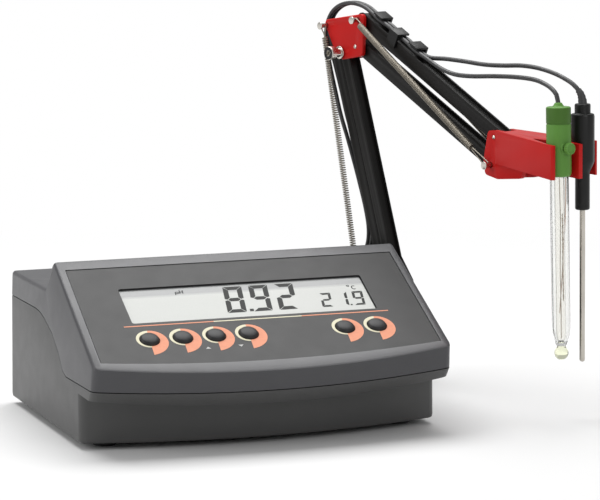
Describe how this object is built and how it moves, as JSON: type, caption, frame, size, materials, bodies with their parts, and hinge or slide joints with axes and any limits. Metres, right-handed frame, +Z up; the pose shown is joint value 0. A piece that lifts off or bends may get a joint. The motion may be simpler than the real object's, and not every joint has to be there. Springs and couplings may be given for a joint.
{
  "type": "ph meter",
  "caption": "Benchtop pH meter with a sloping display panel and a spring-balanced swing arm that holds a pH electrode and a temperature probe.",
  "frame": {"origin": "middle of the assembly's footprint (cords, coil and plugs left out) on the surface it stands on", "axes": "+X to the user's right along the housing's width and out to the arm, -Y towards the user, +Z up"},
  "size_m": [0.3434, 0.28, 0.2617],
  "materials": {
    "grey_plastic": "fine moulded grain, dark grey",
    "overlay": "satin printed polyester sheet, mid grey",
    "display": "pale grey-green liquid crystal behind a clear sheet",
    "rubber": "smooth black silicone rubber",
    "board": "green solder mask",
    "steel": "plain zinc-plated steel",
    "nickel": "bright nickel plate",
    "red_plastic": "glossy red moulding",
    "black_plastic": "semi-gloss black moulding",
    "green_plastic": "satin green moulding",
    "glass": "clear laboratory glass",
    "bulb_glass": "thin sensitive glass",
    "cable": "smooth black cable jacket"
  },
  "bodies": {
    "meter": {"lower_case": "grey_plastic", "upper_case": "grey_plastic", "front_overlay": "overlay", "display_bezel": "grey_plastic", "display_glass": "display", "main_board": "board", "electrode_socket": "nickel", "temperature_socket": "nickel", "power_inlet": "black_plastic", "foot_1": "rubber", "foot_2": "rubber", "foot_3": "rubber", "foot_4": "rubber", "arm_plate": "steel", "arm_pin": "steel", "plate_pad": "rubber", "electrode_plug": "nickel", "temperature_plug": "black_plastic", "electrode_lead": "cable", "probe_lead": "cable", "cable_coil": "cable"},
    "swivel": {"swivel_base": "black_plastic", "base_front_pin": "nickel", "base_rear_pin": "nickel", "base_spring_pin": "nickel"},
    "lower_rear": {"lower_rear_bar": "black_plastic"},
    "lower_front": {"lower_front_bar": "black_plastic"},
    "lower_springs": {"lower_spring_left": "nickel", "lower_spring_right": "nickel"},
    "elbow": {"elbow_plate_left": "red_plastic", "elbow_plate_right": "red_plastic", "elbow_bolt": "nickel", "elbow_rivet": "nickel", "elbow_rear_pin": "nickel", "elbow_front_pin": "nickel"},
    "knob": {"elbow_knob": "nickel"},
    "upper_top": {"upper_top_bar": "black_plastic", "upper_spring_left": "nickel", "upper_spring_right": "nickel", "cable_clip_1": "black_plastic", "cable_clip_2": "black_plastic", "cable_clip_3": "black_plastic", "electrode_cable": "cable", "probe_cable": "cable"},
    "upper_bottom": {"upper_bottom_bar": "black_plastic"},
    "wrist": {"electrode_holder": "red_plastic", "wrist_upper_pin": "nickel", "wrist_lower_pin": "nickel"},
    "electrode": {"electrode_cap": "green_plastic", "electrode_glass": "glass", "electrode_bulb": "bulb_glass"},
    "refill": {"refill_plug": "green_plastic"},
    "probe": {"probe_handle": "black_plastic", "probe_tube": "steel"},
    "key_1_body": {"key_1": "rubber"},
    "key_2_body": {"key_2": "rubber"},
    "key_3_body": {"key_3": "rubber"},
    "key_4_body": {"key_4": "rubber"},
    "key_5_body": {"key_5": "rubber"},
    "key_6_body": {"key_6": "rubber"}
  },
  "joints": [
    {"name": "arm_swivel", "type": "hinge", "parent": "meter", "child": "swivel", "pos_m": [0.08907, 0.07032, 0.03], "axis": [0, 0, 1], "range_deg": [-18, 70], "deforming": ["electrode_cable", "probe_cable"]},
    {"name": "arm_lean", "type": "hinge", "parent": "swivel", "child": "lower_rear", "pos_m": [0.08808, 0.07305, 0.08615], "axis": [0.9397, 0.342, 0], "range_deg": [0, 40], "deforming": ["electrode_cable", "probe_cable", "lower_spring_left", "lower_spring_right"]},
    {"name": "front_bar_follow", "type": "hinge", "parent": "swivel", "child": "lower_front", "pos_m": [0.09321, 0.05895, 0.06815], "axis": [0.9397, 0.342, 0], "range_deg": [0, 40]},
    {"name": "lower_spring_follow", "type": "hinge", "parent": "swivel", "child": "lower_springs", "pos_m": [0.08257, 0.08817, 0.072], "axis": [0.9397, 0.342, 0], "range_deg": [0, 37], "deforming": ["lower_spring_left", "lower_spring_right"]},
    {"name": "elbow_level", "type": "hinge", "parent": "lower_rear", "child": "elbow", "pos_m": [0.07074, 0.12069, 0.2442], "axis": [0.9397, 0.342, 0], "range_deg": [-40, 0]},
    {"name": "forearm_tilt", "type": "hinge", "parent": "elbow", "child": "upper_top", "pos_m": [0.08237, 0.08874, 0.2494], "axis": [0.9397, 0.342, 0], "range_deg": [-45, 12], "deforming": ["electrode_cable", "probe_cable", "upper_spring_left", "upper_spring_right"]},
    {"name": "bottom_bar_follow", "type": "hinge", "parent": "elbow", "child": "upper_bottom", "pos_m": [0.08127, 0.09174, 0.231], "axis": [0.9397, 0.342, 0], "range_deg": [-45, 12]},
    {"name": "wrist_level", "type": "hinge", "parent": "upper_top", "child": "wrist", "pos_m": [0.12926, -0.04009, 0.1786], "axis": [0.9397, 0.342, 0], "range_deg": [-12, 45]},
    {"name": "knob_turn", "type": "hinge", "parent": "elbow", "child": "knob", "pos_m": [0.07587, 0.10659, 0.2262], "axis": [0.9397, 0.342, 0], "range_deg": [-90, 90]},
    {"name": "electrode_height", "type": "slide", "parent": "wrist", "child": "electrode", "axis": [-0.0066, 0.018, 0.9998], "range_m": [-0.006, 0.04], "deforming": ["electrode_cable", "probe_cable"]},
    {"name": "probe_height", "type": "slide", "parent": "wrist", "child": "probe", "axis": [0, 0, 1], "range_m": [-0.006, 0.04], "deforming": ["electrode_cable", "probe_cable"]},
    {"name": "refill_pull", "type": "slide", "parent": "electrode", "child": "refill", "axis": [0.2659, -0.9638, 0.0191], "range_m": [0, 0.008]},
    {"name": "key_1_press", "type": "slide", "parent": "meter", "child": "key_1_body", "axis": [0, 0.4617, -0.887], "range_m": [0, 0.0012], "stiffness_N_per_m": 500, "springref_m": -0.0004},
    {"name": "key_2_press", "type": "slide", "parent": "meter", "child": "key_2_body", "axis": [0, 0.4617, -0.887], "range_m": [0, 0.0012], "stiffness_N_per_m": 500, "springref_m": -0.0004},
    {"name": "key_3_press", "type": "slide", "parent": "meter", "child": "key_3_body", "axis": [0, 0.4617, -0.887], "range_m": [0, 0.0012], "stiffness_N_per_m": 500, "springref_m": -0.0004},
    {"name": "key_4_press", "type": "slide", "parent": "meter", "child": "key_4_body", "axis": [0, 0.4617, -0.887], "range_m": [0, 0.0012], "stiffness_N_per_m": 500, "springref_m": -0.0004},
    {"name": "key_5_press", "type": "slide", "parent": "meter", "child": "key_5_body", "axis": [0, 0.4617, -0.887], "range_m": [0, 0.0012], "stiffness_N_per_m": 500, "springref_m": -0.0004},
    {"name": "key_6_press", "type": "slide", "parent": "meter", "child": "key_6_body", "axis": [0, 0.4617, -0.887], "range_m": [0, 0.0012], "stiffness_N_per_m": 500, "springref_m": -0.0004}
  ],
  "couplings": [
    {"joint": "front_bar_follow", "follows": "arm_lean", "ratio": 1},
    {"joint": "lower_spring_follow", "follows": "arm_lean", "ratio": 0.914},
    {"joint": "elbow_level", "follows": "arm_lean", "ratio": -1},
    {"joint": "bottom_bar_follow", "follows": "forearm_tilt", "ratio": 1},
    {"joint": "wrist_level", "follows": "forearm_tilt", "ratio": -1}
  ]
}
